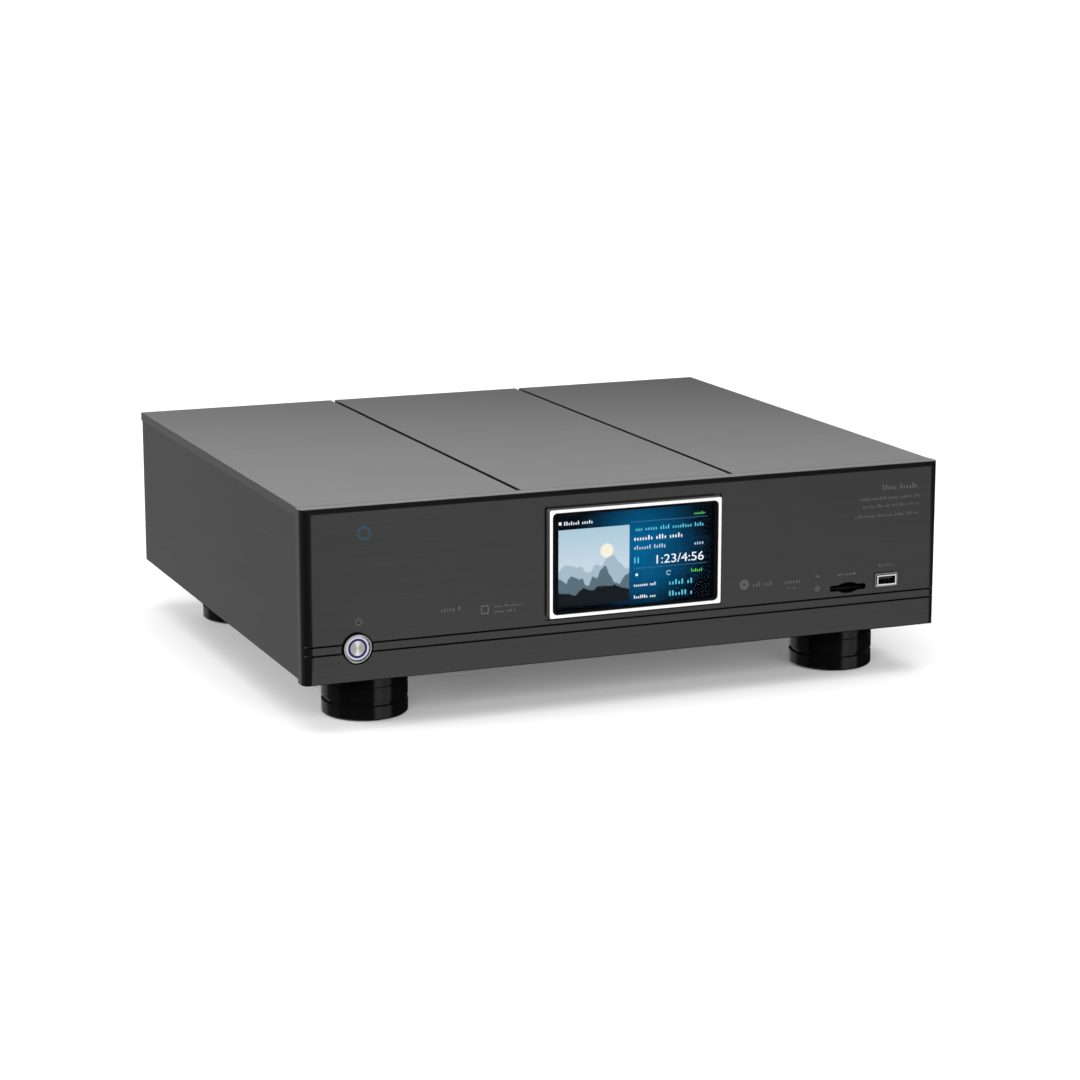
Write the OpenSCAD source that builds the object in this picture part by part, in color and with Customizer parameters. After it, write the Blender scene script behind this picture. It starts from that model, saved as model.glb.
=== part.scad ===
// Network audio player and DAC in a full-width aluminium case.
// Millimetres. +X is to the right seen from the front, +Y to the rear, +Z up.
// The origin is on the floor, at the centre of the whole object's box.

/* [Case] */
// Width of the front panel
panel_w = 438.15; // [430:0.05:450]
// Height of the front panel
panel_h = 109.5; // [106:0.5:116]
// Thickness of the front panel
panel_t = 12; // [11:0.5:14]
// Depth from the front face to the back edge of the cover
case_d = 384.5; // [380:0.5:400]
// Height of the front panel's lower edge above the floor
panel_z = 32; // [30:0.5:36]
// Thickness of the top cover
cover_t = 5.8; // [4.5:0.1:6.5]
// Thickness of each side panel
side_t = 5; // [4:0.5:6]
// Distance of each long cover groove from the centre line
cover_groove_x = 73.2; // [60:0.1:90]

/* [Feet] */
// Diameter of a foot
foot_d = 55; // [46:0.5:60]
// Distance of the foot centres from the centre line
foot_x = 165; // [150:1:172]
// Distance of the front foot centres behind the front face
foot_front = 46; // [42:1:60]
// Distance of the rear foot centres behind the front face
foot_rear = 320; // [300:1:340]

/* [Display] */
// Width of the silver display frame
display_w = 118.3; // [116:0.1:122]
// Height of the silver display frame
display_h = 69.4; // [68:0.1:71]
// How far the display frame stands out of the front face
display_proud = 4; // [2:0.5:5]

/* [Power button] */
// Diameter of the steel bezel
bezel_d = 19.2; // [18.4:0.1:19.8]
// Travel of the button
button_travel = 1.5; // [0.8:0.1:2]

/* [Rear] */
// How far the longest rear jack stands out of the rear panel
jack_out = 10; // [9.6:0.1:12]
// Travel of the fuse drawer
fuse_travel = 22; // [15:1:24]
// Tilt of the mains rocker to each side of its middle, in degrees
rocker_tilt = 8; // [5:1:9]

/* [Hidden] */
$fn = 48;
cut = 0.5;                            // how far a cutter runs past a face
panel_top = panel_z + panel_h;
rear_inset = 1.5;                     // rear panel's outer face, in from the cover's edge
rear_y = case_d - rear_inset;
front_y = -(rear_y + jack_out - display_proud) / 2;
gap = 0.3;                            // fitting gap between case parts
case_y = panel_t + gap;               // where the case starts behind the front panel
cover_w = panel_w - 1.75;
side_x = panel_w / 2 - 1.68;          // outer face of each side panel
side_z = panel_z + 1.1;               // lower edge of the side panels and the base
base_t = 2;
base_top = side_z + base_t;
rear_t = 2;
cover_z = panel_top - cover_t;        // underside of the cover
inner_x = side_x - side_t;            // inner face of each side panel
corner_r = 6.5;                         // upright edges of the front panel
edge_r = 3.2;                         // top edge of the front panel
sill_r = 1.6;                         // lower edge of the front panel
block = 14;                           // corner block, square
bolt_off = 3.2;                       // bolts pass each side of the block's middle
groove_z = [panel_z + 24.25, panel_z + 18.6];
display_z = panel_z + 63.8;
recess = 1.75;                        // gap round the display frame
frame_wall = 2.2;
button_x = -184.5;
button_z = (groove_z[0] + groove_z[1]) / 2;
cap_r = 4.8;
ring_in = 4.88;
ring_out = 6.05;
usb_x = 181.2;
usb_z = panel_z + 33.1;
sd_x = 153;
sd_z = panel_z + 30.2;
ir_x = 131;
ir_z = panel_z + 31.2;
board_t = 1.6;
// rear connector places: across, and above the panel's lower edge
inlet_x = -172;
inlet_z = panel_z + 52;
socket_z = -17;                       // mains socket, below the inlet's middle
fuse_z = 1.5;                         // fuse drawer, above the inlet's middle
rocker_z = 18.5;                      // rocker, above the inlet's middle
low_z = panel_z + 28;
high_z = panel_z + 70;
output_x = [128, 172];
coax_x = [54, 74, 94];
toslink_x = [12, 30];
aes_x = 74;
usb_b_x = -12;
usb_a_x = -38;
lan_x = -66;
serial_x = -110;
antenna_x = [-122, -98];
jack_x = [-70, -52, -34];
socket_angles = [30, 150, 270];       // three contacts of an XLR socket
// inside
coil = [-118, 205];
coil_r = 58;
coil_h = 48;
psu_box = [[-196, 34], [-30, 128]];
dac_box = [[4, 232], [196, 366]];
net_box = [[4, 96], [118, 214]];
standoff_h = 9;
deck_z = base_top + standoff_h;       // underside of the circuit boards
board_top = deck_z + board_t;
front_board_z = sd_z - 3.8;           // underside of the front board

// ---- helpers -------------------------------------------------------------

// Places a piece drawn with y = 0 on the front face.
module at_front() {
  translate([0, front_y, 0]) children();
}

// Places a piece drawn with y = 0 on the rear panel's outer face.
module at_rear(x, z) {
  translate([x, front_y + rear_y, z]) children();
}

// Rounded rectangle, centred.
module rounded(w, h, r) {
  square([w - 2 * r, h], center = true);
  square([w, h - 2 * r], center = true);
  for (x = [-1, 1], y = [-1, 1])
    translate([x * (w / 2 - r), y * (h / 2 - r)]) circle(r);
}

// Round-ended slot, centred, its length up the page.
module slot(w, length) {
  square([w, length - w], center = true);
  for (y = [-1, 1]) translate([0, y * (length - w) / 2]) circle(w / 2);
}

// Turns a flat drawing into a plate from y0 to y1.
module plate_y(y0, y1) {
  translate([0, y1, 0]) rotate([90, 0, 0]) linear_extrude(y1 - y0) children();
}

module rod_y(r, y0, y1) {
  translate([0, y0, 0]) rotate([-90, 0, 0]) cylinder(r = r, h = y1 - y0);
}

module hex_y(r, y0, y1) {
  translate([0, y0, 0]) rotate([-90, 0, 0]) cylinder(r = r, h = y1 - y0, $fn = 6);
}

module box(low, high) {
  translate(low) cube(high - low);
}

// Cap screw along +Z: head from -head_h to 0, shank up from 0.
module cap_screw(r, length, head_r, head_h) {
  cylinder(r = r, h = length);
  translate([0, 0, -head_h]) difference() {
    cylinder(r = head_r, h = head_h);
    translate([0, 0, -cut]) cylinder(r = head_r * 0.5, h = head_h * 0.6 + cut, $fn = 6);
  }
}

// ---- case ----------------------------------------------------------------

module front_panel() color("#202124") at_front() difference() {
  intersection() {
    translate([0, 0, panel_z]) linear_extrude(panel_h) panel_plan();
    translate([-panel_w / 2 - 1, 0, 0]) rotate([90, 0, 90])
      linear_extrude(panel_w + 2) panel_section();
  }
  translate([0, 0, display_z]) {
    plate_y(-cut, 1.3) rounded(display_w + 2 * recess, display_h + 2 * recess, 1.6);
    plate_y(0, panel_t + cut) rounded(display_w + 0.4, display_h + 0.4, 1.2);
  }
  for (z = groove_z)
    box([-panel_w / 2 - 1, -cut, z - 0.6], [panel_w / 2 + 1, 2.4, z + 0.6]);
  translate([button_x, 0, button_z]) {
    rod_y(bezel_d / 2 + 0.75, -cut, 1.6);
    rod_y(8.1, 0, panel_t + cut);
  }
  translate([usb_x, 0, usb_z]) {
    plate_y(-cut, 0.8) rounded(18.2, 10.8, 0.8);
    plate_y(0, panel_t + cut) rounded(14.2, 6.8, 0.5);
  }
  translate([sd_x, 0, sd_z]) {
    plate_y(-cut, 6) rounded(26.4, 3.9, 1.6);
    plate_y(-cut, 3.5) scoop();
    plate_y(5.5, panel_t + cut) rounded(30, 7, 0.6);
  }
  translate([ir_x, 0, ir_z]) {
    rod_y(2.6, -cut, panel_t + cut);
    rod_y(4.1, 3, panel_t + cut);
  }
  for (x = [-1, 1], z = panel_bolt_z())
    translate([x * screw_x(), 0, z]) rod_y(2.05, panel_t - 8, panel_t + cut);
}

module panel_plan() {
  translate([-panel_w / 2 + corner_r, 0]) square([panel_w - 2 * corner_r, panel_t]);
  translate([-panel_w / 2, corner_r]) square([panel_w, panel_t - corner_r]);
  for (x = [-1, 1]) translate([x * (panel_w / 2 - corner_r), corner_r]) circle(corner_r);
}

// Side view of the front panel: y across, z up.
module panel_section() {
  translate([0, panel_z + sill_r]) square([panel_t, panel_h - sill_r - edge_r]);
  translate([sill_r, panel_z]) square([panel_t - sill_r, panel_h - edge_r]);
  translate([edge_r, panel_z + sill_r]) square([panel_t - edge_r, panel_h - sill_r]);
  translate([edge_r, panel_top - edge_r]) circle(edge_r);
  translate([sill_r, panel_z + sill_r]) circle(sill_r);
}

// Finger scoop in the middle of the card slot, a lens shape.
module scoop(w = 20.5, h = 7.2) {
  r = (w * w / 4 + h * h / 4) / h;
  intersection() {
    translate([0, r - h / 2]) circle(r);
    translate([0, h / 2 - r]) circle(r);
  }
}

function block_x() = inner_x - block / 2;
function tie_x() = block_x() - bolt_off;
function screw_x() = block_x() + bolt_off;
function block_y() = [case_y + block / 2, rear_y - rear_t - block / 2];
function panel_bolt_z() = [base_top + 14, cover_z - 14];

module top_cover() color("#3a3b3e") at_front() difference() {
  box([-cover_w / 2, case_y, cover_z], [cover_w / 2, case_d, panel_top]);
  for (s = [-1, 1])
    translate([s * cover_groove_x, 0, panel_top])
      box([-1.5, case_y - 1, -2.2], [1.5, case_d + 1, cut]);
  for (x = [-1, 1], y = block_y())
    translate([x * tie_x(), y, cover_z - cut]) cylinder(r = 2.05, h = 4 + cut);
}

module side(s) {
  at_front() difference() {
    box([min(s * inner_x, s * side_x), case_y, side_z],
        [max(s * inner_x, s * side_x), case_d, cover_z - gap]);
    // blind holes for the screws from the corner blocks
    for (y = block_y(), z = [base_top + 26, cover_z - 26])
      translate([s * (inner_x - cut), y, z]) rotate([0, s * 90, 0])
        cylinder(r = 1.55, h = 3 + cut);
  }
}

module left_side() color("#2b2c2e") side(-1);

module right_side() color("#2b2c2e") side(1);

module base_plate() color("#303133") at_front() difference() {
  union() {
    box([-inner_x + gap, case_y, side_z], [inner_x - gap, rear_y, base_top]);
    for (x = [-1, 1], y = [foot_front, foot_rear])
      translate([x * foot_x, y, base_top]) cylinder(r = 6.5, h = 4);
  }
  for (x = [-1, 1], y = [foot_front, foot_rear])
    translate([x * foot_x, y, side_z - cut]) cylinder(r = 3.05, h = 12);
  for (x = [-1, 1], y = block_y())
    translate([x * tie_x(), y, side_z - cut]) cylinder(r = 2.3, h = base_t + 2 * cut);
  // cooling slots, in two banks
  for (x = [-1, 1], i = [0 : 11])
    translate([x * 96 - 66 + 12 * i, 175, side_z - cut])
      linear_extrude(base_t + 2 * cut) slot(3.4, 60);
}

module rear_panel() color("#252628") at_front() difference() {
  box([-inner_x + gap, rear_y - rear_t, base_top], [inner_x - gap, rear_y, cover_z - gap]);
  translate([0, rear_y, 0]) rear_cutouts();
}

module rear_cutouts() {
  d = rear_t + cut;
  translate([inlet_x, 0, inlet_z]) plate_y(-d, cut) rounded(47.6, 58.6, 1.5);
  for (x = output_x) {
    translate([x, 0, low_z]) rod_y(4.7, -d, cut);
    translate([x, 0, high_z]) rod_y(12, -d, cut);
  }
  for (x = coax_x) translate([x, 0, low_z]) rod_y(4.7, -d, cut);
  translate([aes_x, 0, high_z]) rod_y(12, -d, cut);
  for (x = toslink_x) translate([x, 0, low_z]) plate_y(-d, cut) square([11.4, 11.4], center = true);
  translate([usb_b_x, 0, low_z]) plate_y(-d, cut) square([12.6, 11.4], center = true);
  translate([usb_a_x, 0, low_z]) plate_y(-d, cut) square([14.6, 16.4], center = true);
  translate([lan_x, 0, low_z]) plate_y(-d, cut) square([16.6, 14], center = true);
  translate([serial_x, 0, low_z]) plate_y(-d, cut) rounded(19.6, 11, 1.5);
  for (x = antenna_x) translate([x, 0, high_z]) rod_y(3.3, -d, cut);
  for (x = jack_x) translate([x, 0, high_z]) rod_y(3.1, -d, cut);
  for (x = [-1, 1], z = panel_bolt_z()) translate([x * screw_x(), 0, z]) rod_y(2.2, -d, cut);
}

// Four square bars that tie the base, sides, front, rear and cover together.
module corner_blocks() color("#b4b7ba") at_front()
  for (x = [-1, 1], y = block_y()) difference() {
    translate([x * block_x(), y, 0])
      box([-block / 2, -block / 2, base_top], [block / 2, block / 2, cover_z]);
    translate([x * tie_x(), y, base_top - cut]) cylinder(r = 2.3, h = panel_h);
    for (z = panel_bolt_z()) translate([x * screw_x(), y, z]) rod_y(2.2, -block, block);
  }

// Long bolts from under the base, through the corner blocks, into the cover.
module tie_bolts() color("#909396") at_front()
  for (x = [-1, 1], y = block_y()) translate([x * tie_x(), y, side_z])
    cap_screw(2, cover_z - side_z + 3.4, 3.6, 2.4);

// Screws that hold the front panel (heads inside) and the rear panel (heads outside).
module panel_screws() color("#6f7275") at_front()
  for (x = [-1, 1], z = panel_bolt_z()) {
    translate([x * screw_x(), case_y + block, z]) rotate([90, 0, 0])
      cap_screw(2, block + 7, 3.4, 3);
    translate([x * screw_x(), rear_y, z]) rotate([90, 0, 0]) cap_screw(2, 10, 3.5, 2.2);
  }

// ---- feet ----------------------------------------------------------------

module each_foot() {
  at_front() for (x = [-1, 1], y = [foot_front, foot_rear])
    translate([x * foot_x, y, 0]) children();
}

module feet() color("#101011") each_foot() rotate_extrude($fn = 96) foot_section();

// Half of a foot's section: radius across, height up.
module foot_section() {
  r = foot_d / 2;
  difference() {
    polygon([[3.2, 0.8], [r - 1, 0.8], [r, 1.8], [r, side_z - 0.6], [r - 0.6, side_z],
             [3.2, side_z]]);
    translate([r - 1.6, 9.7]) square([5, 2.6]);
    translate([r - 0.7, 21.8]) square([5, 0.9]);
    translate([0, 0]) square([7, 18]);
    translate([0, 0]) square([r - 3, 1.8]);
  }
}

// Rubber discs stuck over the screw recesses; the object stands on them.
module foot_pads() color("#1a1a1a") each_foot() cylinder(r = foot_d / 2 - 3.2, h = 1.8);

module foot_screws() color("#8b8e91") each_foot() translate([0, 0, 18])
  cap_screw(3, base_top + 3 - 18, 5, 5);

// ---- display -------------------------------------------------------------

// The silver ring, with a flange that rests behind the front panel.
module display_frame() color("#dfe1e3") at_front() translate([0, 0, display_z]) {
  difference() {
    union() {
      plate_y(-display_proud, panel_t + 2) rounded(display_w, display_h, 1.2);
      plate_y(panel_t + gap, panel_t + 2) rounded(display_w + 8, display_h + 6, 2);
    }
    plate_y(-display_proud - cut, panel_t + 3)
      rounded(display_w - 2 * frame_wall, display_h - 2 * frame_wall, 3);
  }
}

// Black ring inside the frame, round the picture.
module display_mask() color("#0c0c0d") at_front() translate([0, 0, display_z]) difference() {
  plate_y(-display_proud + 0.8, -display_proud + 2.3)
    rounded(display_w - 2 * frame_wall - 0.1, display_h - 2 * frame_wall - 0.1, 2.9);
  plate_y(-display_proud - cut, 2) rounded(108.6, 61.4, 0.6);
}

module display_glass() color("#10141c") at_front() translate([0, 0, display_z])
  plate_y(-display_proud + 2.35, -display_proud + 3.25)
    rounded(display_w - 2 * frame_wall - 0.1, display_h - 2 * frame_wall - 0.1, 2.9);

module lcd_module() color("#2c4a7c") at_front() translate([0, 0, display_z])
  plate_y(-display_proud + 3.5, -display_proud + 8)
    rounded(display_w - 2 * frame_wall - 0.4, display_h - 2 * frame_wall - 0.4, 2.4);

// Driver board behind the flange, on four posts, with its chips.
module display_board() color("#0f5f38") at_front() translate([0, 0, display_z]) {
  plate_y(panel_t + 8, panel_t + 8 + board_t) square([display_w + 6, display_h + 4], center = true);
  for (x = [-1, 1], z = [-1, 1])
    translate([x * (display_w / 2 + 0.8), 0, z * (display_h / 2 - 3)])
      rod_y(2, panel_t + 2, panel_t + 8);
  plate_y(panel_t + 8 + board_t, panel_t + 11) square([16, 16], center = true);
  translate([0, 0, -28]) plate_y(panel_t + 8 + board_t, panel_t + 14) square([42, 6], center = true);
}

// ---- power button --------------------------------------------------------

module at_button() {
  at_front() translate([button_x, 0, button_z]) children();
}

// Steel bezel: round flange and threaded barrel, with a nut behind the panel.
module button_bezel() color("#c9ccd0") at_button() difference() {
  union() {
    rotate([90, 0, 0]) rotate_extrude($fn = 96) bezel_section();
    rod_y(7.9, 1.5, panel_t + 12);
    hex_y(11, panel_t, panel_t + 3);
  }
  rod_y(ring_out + 0.05, -3, panel_t + 13);
}

// Half of the bezel's flange: radius across, height towards the front up.
module bezel_section() {
  r = bezel_d / 2;
  polygon([[5, -1.5], [r, -1.5], [r, 0], [r - 0.4, 0.5], [r - 1, 0.7], [r - 1.7, 0.6],
           [r - 2.3, 0.3], [5, 0.3]]);
}

module light_ring() color("#6f6cff") at_button() difference() {
  rod_y(ring_out, -0.3, 7);
  rod_y(ring_in, -3, 8);
}

module button_cap() color("#d6d8db") at_button() {
  rod_y(cap_r, -0.3, 9.2);
  rod_y(3, 9.2, panel_t + 6);
}

module button_switch() color("#1c1c1e") at_button() {
  difference() {
    rod_y(ring_out, panel_t + 3, panel_t + 26);
    rod_y(3.4, panel_t + 2, panel_t + 6 + button_travel + 0.6);
  }
  for (x = [-3, 3], z = [-2, 2])
    translate([x, 0, z]) plate_y(panel_t + 26, panel_t + 33) square([0.6, 2.4], center = true);
}

// ---- front sockets -------------------------------------------------------

module front_usb_shell() color("#c7cacd") at_front() translate([usb_x, 0, usb_z]) difference() {
  union() {
    plate_y(-0.5, 0.7) rounded(17, 9.6, 0.8);
    plate_y(-1.2, 0.7) rounded(14.2, 6.8, 0.5);
    plate_y(0.7, 19) rounded(13.7, 6.3, 0.5);
    for (x = [-6.2, 6.2]) box([x - 0.4, 13.5, front_board_z + board_t - usb_z], [x + 0.4, 18.5, 0]);
  }
  plate_y(-2, 18.4) rounded(12.5, 5.1, 0.4);
}

module front_usb_tongue() color("#202022") at_front() translate([usb_x, 0, usb_z])
  box([-5.55, 1.6, 0.15], [5.55, 18.4, 2.0]);

// Card socket behind the panel's pocket: a folded metal shell, open at the front.
module sd_socket() color("#b9bdc1") at_front() translate([sd_x, 0, sd_z]) difference() {
  box([-14.2, 6.2, -2.2], [14.2, 38, 2.2]);
  box([-12.3, 5, -1.2], [12.3, 36.5, 1.2]);
}

// The spring carriage that a card pushes back.
module sd_slider() color("#2a2a2c") at_front() translate([sd_x, 0, sd_z]) union() {
  box([-12, 30, -0.9], [-8.4, 33, 0.9]);
  box([-12, 24, -0.9], [-11.1, 30, 0.9]);
}

module ir_window() color("#3a1216") at_front() translate([ir_x, 0, ir_z]) {
  rod_y(2.5, 0.2, 3.1);
  rod_y(3.9, 3.1, 5.5);
}

// Board for the front sockets and the remote receiver.
module front_board() color("#0f5f38") at_front() {
  difference() {
    box([122, panel_t + 0.4, front_board_z], [198, 66, front_board_z + board_t]);
    for (x = [128, 192]) translate([x, 60, front_board_z - cut]) cylinder(r = 1.7, h = 3);
  }
  translate([ir_x, 0, ir_z]) box([-3.5, 13, front_board_z + board_t - ir_z], [3.5, 18, 3.5]);
  box([150, 44, front_board_z + board_t], [164, 58, front_board_z + board_t + 1.4]);
}

// ---- mains inlet ---------------------------------------------------------

module at_inlet() {
  at_rear(inlet_x, inlet_z) children();
}

// Plastic moulding with the socket, the fuse slot and the switch opening.
module mains_inlet() color("#161617") at_inlet() difference() {
  union() {
    plate_y(0, 2.5) rounded(50, 62, 2);
    plate_y(-26, 0) rounded(47, 58, 1.2);
  }
  translate([0, 0, socket_z]) plate_y(-14.5, 3) inlet_outline();
  translate([0, 0, fuse_z]) plate_y(-24, 3) square([29.4, 8.4], center = true);
  translate([0, 0, rocker_z]) plate_y(-14, 3) square([21, 16], center = true);
}

// Mains socket outline: a rectangle with its two upper corners cut.
module inlet_outline() {
  polygon([[-12.2, -8.2], [12.2, -8.2], [12.2, 3.6], [7.6, 8.2], [-7.6, 8.2], [-12.2, 3.6]]);
}

module mains_pins() color("#c8c2a8") at_inlet() translate([0, 0, socket_z])
  for (p = [[-7, -2], [7, -2], [0, 2]])
    translate([p[0], 0, p[1]]) plate_y(-14.5, 0.5) square([2, 4], center = true);

// Mains switch key. It is drawn tipped to one side, its rest place.
module rocker() color("#242425") at_inlet() translate([0, -3, rocker_z])
  rotate([rocker_tilt, 0, 0]) translate([-10.1, 0, 0]) rotate([90, 0, 90])
    linear_extrude(20.2)
      polygon([[-7, -4.6], [3.6, -6.7], [5.6, -6.4], [4.4, 0], [5.6, 6.4], [3.6, 6.7], [-7, 4.6]]);

module fuse_drawer() color("#1f1f20") at_inlet() translate([0, 0, fuse_z]) difference() {
  union() {
    box([-14.3, -23, -3.8], [14.3, 3.4, 3.8]);
    box([-3, 3.4, 1.6], [3, 4.4, 3.4]);
  }
  translate([0, -20, 0]) box([-10.4, 0, -2.7], [10.4, 18, 5]);
}

// Cartridge fuse lying across the drawer.
module fuse() color("#d8d2b8") at_inlet() translate([-10, -10, fuse_z]) rotate([0, 90, 0])
  difference() {
    cylinder(r = 2.6, h = 20);
    translate([0, 0, 6]) difference() {
      cylinder(r = 4, h = 8);
      cylinder(r = 2.35, h = 8);
    }
  }

// ---- rear sockets --------------------------------------------------------

// Outer sleeve of a phono socket with its nut; the insert sits inside.
module phono_shell() {
  difference() {
    union() {
      rod_y(4.15, -9, jack_out);
      hex_y(6.6, 0, 2.2);
      rod_y(6.2, -4, -rear_t);
    }
    rod_y(3.1, -8, jack_out + cut);
  }
}

module phono_insert() {
  difference() {
    rod_y(3.05, -7.8, jack_out - 0.4);
    rod_y(1.65, -2, jack_out);
  }
}

module rca_shells() color("#c9a95c")
  for (x = concat(output_x, coax_x)) at_rear(x, low_z) phono_shell();

module rca_white_insert() color("#f0f0ee") at_rear(output_x[0], low_z) phono_insert();

module rca_red_insert() color("#b01c1c") at_rear(output_x[1], low_z) phono_insert();

module coax_inserts() color("#202020") for (x = coax_x) at_rear(x, low_z) phono_insert();

module xlr_flange() {
  plate_y(0, 1.6) rounded(26, 31, 3);
  rod_y(11.8, -20, 0);
}

// Balanced outputs, with a deep round well for the plug.
module xlr_outputs() color("#1d1d1f") for (x = output_x) at_rear(x, high_z) difference() {
  xlr_flange();
  rod_y(9.4, -12.5, 3);
  for (s = [-1, 1]) translate([s * 9.5, 0, s * 12]) rod_y(1.6, -cut, 3);
}

module xlr_pins() color("#d2cfc4") for (x = output_x, a = socket_angles) at_rear(x, high_z)
  translate([4.1 * cos(a), 0, 4.1 * sin(a)]) rod_y(1.2, -12.5, -1.2);

// Balanced digital input: a ring well round a block with three holes.
module xlr_input() color("#1d1d1f") at_rear(aes_x, high_z) difference() {
  xlr_flange();
  difference() {
    rod_y(9.4, -12.5, 3);
    rod_y(7.9, -13, 2);
  }
  for (a = socket_angles) translate([4.1 * cos(a), 0, 4.1 * sin(a)]) rod_y(1.35, -10, 3);
  box([-3.6, -6, 8.6], [3.6, 3, 11.4]);
}

// Push tab that releases the plug.
module xlr_latch() color("#c4c7ca") at_rear(aes_x, high_z) union() {
  box([-3.2, -1.2, 9], [3.2, 3, 11]);
  box([-1.5, -3, 9.3], [1.5, -1.2, 10.7]);
}

module ethernet_port() color("#bfc3c6") at_rear(lan_x, low_z) difference() {
  box([-8, -20, -6.8], [8, 1, 6.8]);
  box([-5.9, -14, -4.6], [5.9, 2, 3.4]);
  box([-3, -14, -6], [3, 2, -4.5]);
}

module usb_b_port() color("#bfc3c6") at_rear(usb_b_x, low_z) {
  difference() {
    box([-6, -16, -5.4], [6, 1, 5.4]);
    plate_y(-9, 2) polygon([[-4.2, -3.9], [4.2, -3.9], [4.2, 2.3], [2.6, 3.9], [-2.6, 3.9],
                            [-4.2, 2.3]]);
  }
  box([-2.8, -9, -1.6], [2.8, 0, 1.6]);
}

module rear_usb_ports() color("#bfc3c6") at_rear(usb_a_x, low_z) {
  difference() {
    box([-7, -18, -7.9], [7, 1, 7.9]);
    for (z = [-3.9, 3.9]) translate([0, 0, z]) box([-6.25, -12, -2.55], [6.25, 2, 2.55]);
  }
  for (z = [-3.9, 3.9]) translate([0, 0, z]) box([-5.5, -12, 0.2], [5.5, 0, 2]);
}

// Optical inputs: square tubes closed by hinged flaps.
module toslink_housings() color("#19191b") for (x = toslink_x) at_rear(x, low_z) difference() {
  box([-5.5, -15, -5.5], [5.5, 2, 5.5]);
  box([-4.3, -11, -4.3], [4.3, 3, 4.3]);
}

// One flap, hinged along its upper edge; it swings into the socket.
module toslink_flap(i) {
  at_rear(toslink_x[i], low_z) box([-4, 0.2, -3.9], [4, 1.2, 3.9]);
}

module toslink_flap_1() color("#2e2e31") toslink_flap(0);

module toslink_flap_2() color("#2e2e31") toslink_flap(1);

module antenna_jacks() color("#c9a95c") for (x = antenna_x) at_rear(x, high_z) difference() {
  union() {
    rod_y(3.1, -8, 9.5);
    hex_y(4.6, 0, 2);
    rod_y(4.6, -4, -rear_t);
  }
  rod_y(0.65, 4, 10);
  difference() {
    rod_y(2.4, 6, 10);
    rod_y(1.4, 5, 11);
  }
}

module jack_sockets() color("#3a3b3d") for (x = jack_x) at_rear(x, high_z) difference() {
  union() {
    rod_y(2.95, -4, 2.6);
    rod_y(4, 0, 1.8);
    box([-4.5, -16, -5], [4.5, -rear_t - 0.2, 5]);
  }
  rod_y(1.8, -13, 3);
}

// Nine-way control socket with its two jack posts.
module serial_port() color("#b4b8bb") at_rear(serial_x, low_z) difference() {
  union() {
    plate_y(0, 1) rounded(31, 12.6, 1.5);
    plate_y(1, 5.8) polygon([[-8.3, 4], [8.3, 4], [7.2, -4], [-7.2, -4]]);
    plate_y(-9, 0) rounded(18.8, 10.2, 1);
    for (x = [-12.5, 12.5]) translate([x, 0, 0]) hex_y(2.8, 1, 5.5);
  }
  for (i = [-2 : 2]) translate([i * 2.77, 0, 1.4]) rod_y(0.6, 1, 7);
  for (i = [-1.5 : 1.5]) translate([i * 2.77, 0, -1.4]) rod_y(0.6, 1, 7);
}

// ---- inside --------------------------------------------------------------

module transformer() color("#a8662a") at_front() translate([coil[0], coil[1], base_top + 2])
  rotate_extrude($fn = 96) {
    translate([20, 5]) square([coil_r - 20, coil_h - 10]);
    translate([25, 0]) square([coil_r - 30, coil_h]);
    for (x = [25, coil_r - 5], y = [5, coil_h - 5]) translate([x, y]) circle(5);
  }

// Steel washer, through bolt and nut over the coil, and rubber pad beneath.
module transformer_clamp() color("#84878a") at_front()
  translate([coil[0], coil[1], base_top]) {
    translate([0, 0, coil_h + 2.2]) cylinder(r = 34, h = 2);
    cylinder(r = 4, h = coil_h + 8);
    translate([0, 0, coil_h + 4.2]) cylinder(r = 7.5, h = 6, $fn = 6);
  }

module board(area) {
  translate([area[0][0], area[0][1], deck_z]) difference() {
    cube([area[1][0] - area[0][0], area[1][1] - area[0][1], board_t]);
    for (p = board_corners(area))
      translate([p[0] - area[0][0], p[1] - area[0][1], -cut]) cylinder(r = 1.7, h = 4);
  }
}

function board_corners(area) = [for (x = [area[0][0] + 5, area[1][0] - 5],
                                     y = [area[0][1] + 5, area[1][1] - 5]) [x, y]];

module power_board() color("#14503a") at_front() {
  board(psu_box);
  // rectifiers and fuse holders
  for (i = [0 : 3]) translate([-180 + 22 * i, 40, board_top]) cube([14, 6, 18]);
}

module reservoir_capacitors() color("#1f2c55") at_front()
  for (i = [0 : 3], j = [0, 1]) translate([-176 + 34 * i, 64 + 32 * j, board_top])
    cylinder(r = 14, h = 42);

// Finned bar for the regulators, on the power board's inner edge.
module regulator_heatsink() color("#2a2b2d") at_front() translate([-52, 44, board_top]) {
  cube([4, 70, 50]);
  for (i = [0 : 8]) translate([4, 2 + 8 * i, 0]) cube([14, 2, 50]);
  for (i = [0 : 3]) translate([-4.6, 5 + 17 * i, 12]) cube([4.6, 10, 16]);
}

module dac_board() color("#123c6b") at_front() board(dac_box);

// Converter chips, output relays and film capacitors.
module dac_parts() color("#26272a") at_front() {
  for (x = [50, 128]) translate([x, 262, board_top]) cube([16, 16, 2]);
  for (x = [80, 104, 150, 174]) translate([x, 330, board_top]) cube([12, 20, 10]);
  for (i = [0 : 5]) translate([30 + 26 * i, 296, board_top]) cube([18, 8, 14]);
}

module network_board() color("#103f2c") at_front() board(net_box);

module processor_heatsink() color("#8f9396") at_front() translate([40, 132, board_top]) {
  cube([40, 40, 4]);
  for (i = [0 : 7]) translate([0, 1 + 5 * i, 4]) cube([40, 2, 12]);
}

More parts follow.
